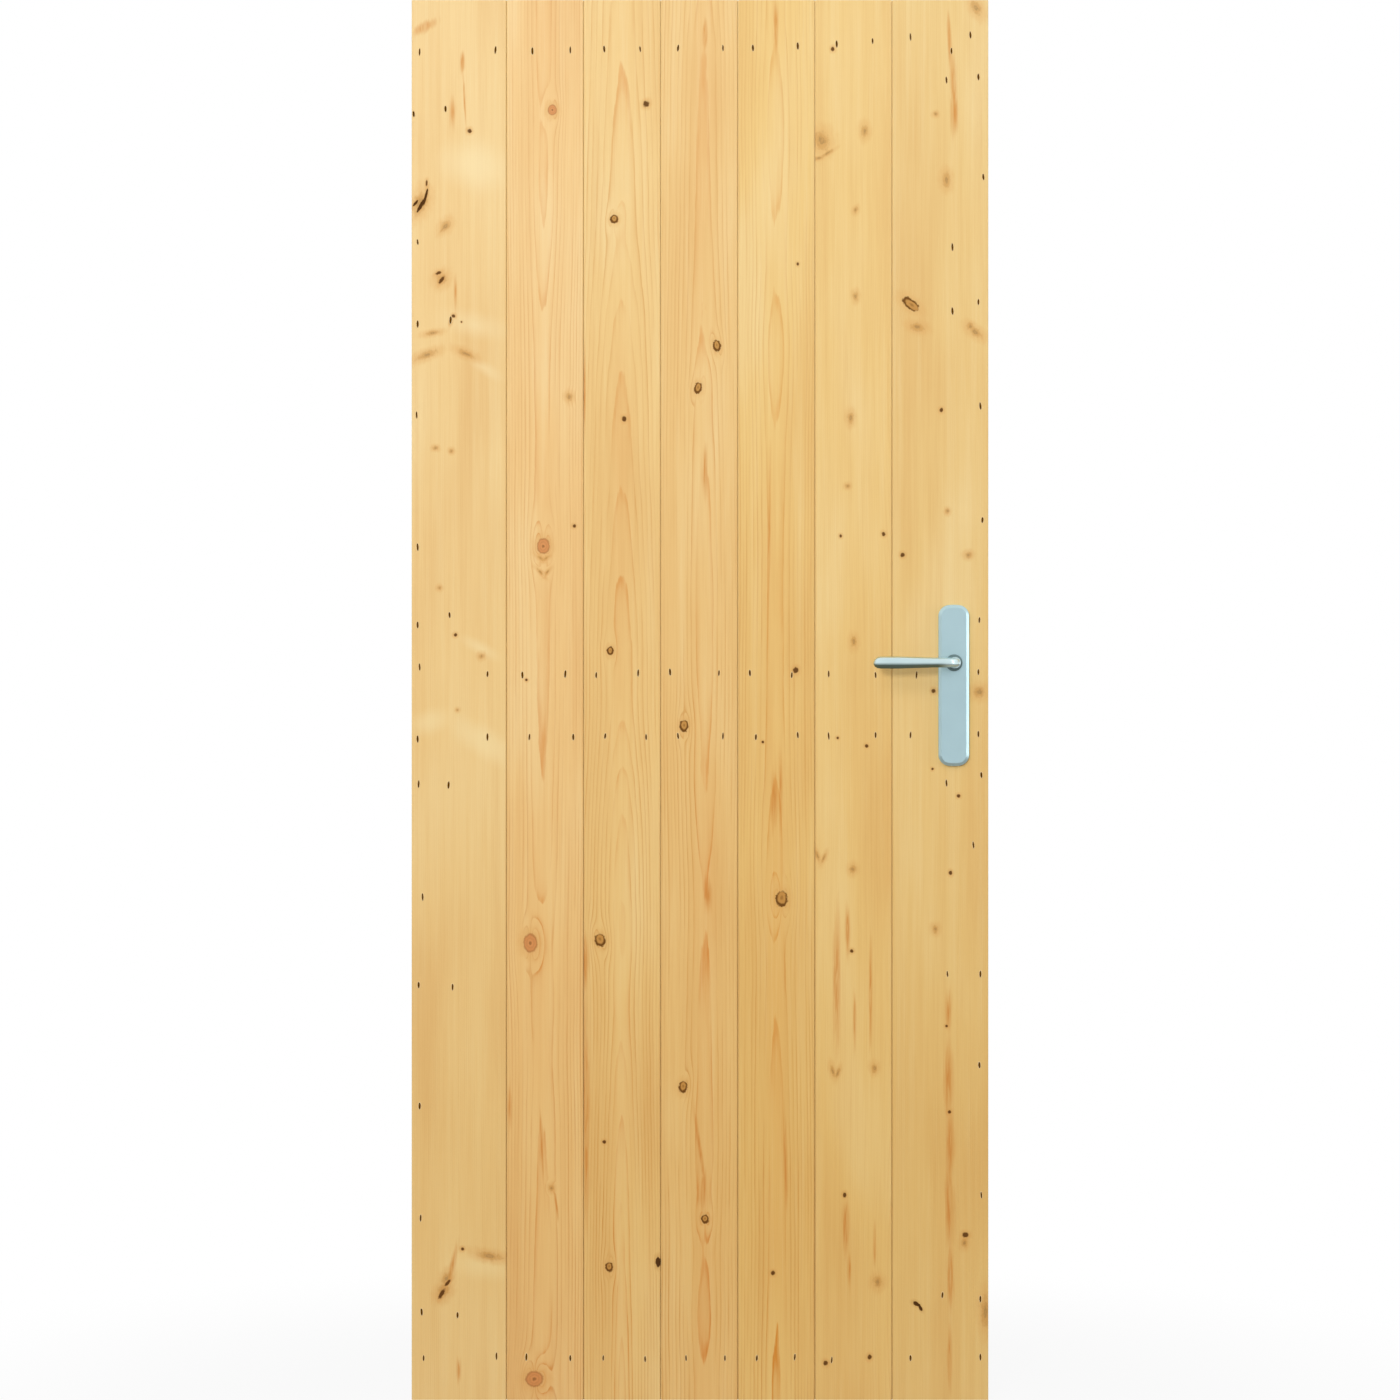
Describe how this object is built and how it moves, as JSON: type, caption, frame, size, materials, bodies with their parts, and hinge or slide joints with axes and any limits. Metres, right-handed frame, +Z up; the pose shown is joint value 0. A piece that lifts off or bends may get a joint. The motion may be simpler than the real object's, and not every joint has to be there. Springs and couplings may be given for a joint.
{
  "type": "boarded back door",
  "caption": "Timber door leaf of tongued and grooved boards nailed to a framed back, with a sprung lever handle on a long plate on each face and a latch in the edge.",
  "frame": {"origin": "on the hinge edge, at the foot of the door, in the middle of its thickness", "axes": "-X out of the hinge edge, +X towards the lock edge, -Y out of the boarded face, +Z up"},
  "size_m": [0.83, 0.1636, 2.015],
  "materials": {
    "board_wood": "clear satin varnish on knotty softwood",
    "frame_wood": "clear satin varnish on knotty softwood",
    "satin_aluminium": "satin anodised",
    "dark_bush": "moulded, matt",
    "screw_steel": "zinc plated",
    "latch_steel": "zinc plated, dull",
    "forend_steel": "brushed"
  },
  "bodies": {
    "door": {"board_1": "board_wood", "board_2": "board_wood", "board_3": "board_wood", "board_4": "board_wood", "board_5": "board_wood", "board_6": "board_wood", "board_7": "board_wood", "hinge_stile": "frame_wood", "lock_stile": "frame_wood", "top_rail": "frame_wood", "mid_rail": "frame_wood", "bottom_rail": "frame_wood", "front_plate": "satin_aluminium", "back_plate": "satin_aluminium", "front_collar": "dark_bush", "back_collar": "dark_bush", "plate_screw_upper": "screw_steel", "plate_screw_lower": "screw_steel", "latch_case": "latch_steel", "forend": "forend_steel", "latch_bolt": "forend_steel", "forend_screw_upper": "screw_steel", "forend_screw_lower": "screw_steel"},
    "lever_set": {"front_lever": "satin_aluminium", "back_lever": "satin_aluminium", "lever_grub_screw": "screw_steel", "spindle": "latch_steel", "follower": "latch_steel"}
  },
  "joints": [
    {"name": "lever_turn", "type": "hinge", "parent": "door", "child": "lever_set", "pos_m": [0.78, 0, 1.061], "axis": [0, -1, 0], "range_deg": [0, 45], "stiffness_Nm_per_rad": 1.5, "springref_deg": -34.38}
  ]
}
